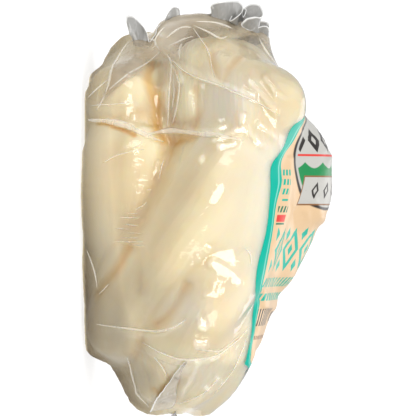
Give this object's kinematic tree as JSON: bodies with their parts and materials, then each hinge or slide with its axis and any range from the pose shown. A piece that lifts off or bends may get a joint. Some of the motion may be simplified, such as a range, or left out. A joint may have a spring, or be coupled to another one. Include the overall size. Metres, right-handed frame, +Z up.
{
  "type": "vacuum-packed rope cheese",
  "caption": "Sealed clear vacuum pack of soft white cheese wound as a rope, lying on its flat back, with a ruffled seal skirt at one end.",
  "frame": {"origin": "on the flat back that the pack lies on, under the middle of the lump", "axes": "+X along the pack from the ruffled seal skirt to the foot seal, +Z up out of the printed front, -Y out of the flank with the two long strands"},
  "size_m": [0.1088, 0.0798, 0.062],
  "materials": {
    "cheese_in_film": "gloss",
    "cheese": "satin",
    "clear_film": "gloss"
  },
  "bodies": {
    "root": {"sealed_pack": "cheese_in_film"}
  },
  "joints": []
}
